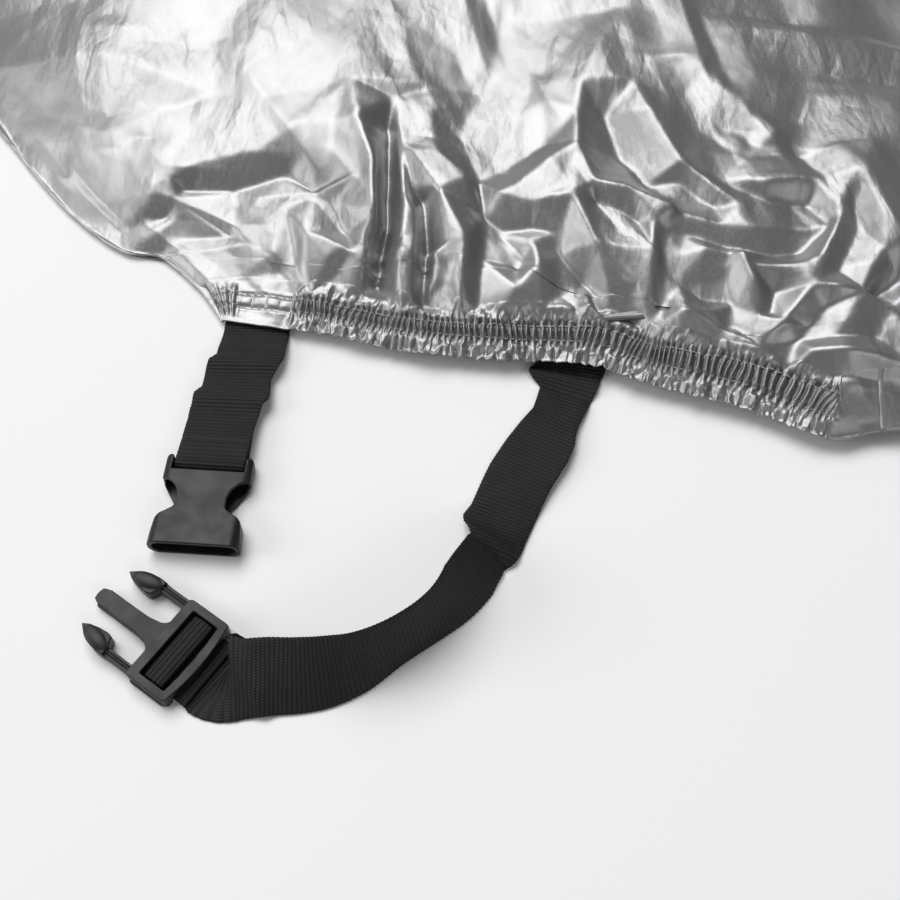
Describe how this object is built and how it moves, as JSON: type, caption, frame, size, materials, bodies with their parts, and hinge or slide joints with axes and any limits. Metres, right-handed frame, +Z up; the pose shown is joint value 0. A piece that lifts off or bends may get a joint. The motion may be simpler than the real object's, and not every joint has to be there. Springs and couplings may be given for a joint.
{
  "type": "motor scooter cover",
  "caption": "Silver coated cover for a motor scooter, laid out on its side: two sewn panels, a hem gathered on elastic, and a webbing strap pair with an open side-release buckle.",
  "frame": {"origin": "middle of the footprint of the cover and its straps, on the floor", "axes": "+X along the hem from the front of the cover to the rear, +Y from the hem up to the sewn top edge, +Z up through the two panels as they lie"},
  "size_m": [2.0127, 1.2608, 0.0561],
  "materials": {
    "silver_cloth": "silver-coated polyester taffeta, satin metallic, crumpled into sharp creases",
    "black_webbing": "black polyester webbing with fine cross ribs, matte",
    "black_plastic": "moulded black acetal, slightly shiny on edges"
  },
  "bodies": {
    "root": {"side_panel_upper": "silver_cloth", "side_panel_lower": "silver_cloth", "strap_short": "black_webbing", "strap_long": "black_webbing", "buckle_socket": "black_plastic", "buckle_prongs": "black_plastic"}
  },
  "joints": []
}
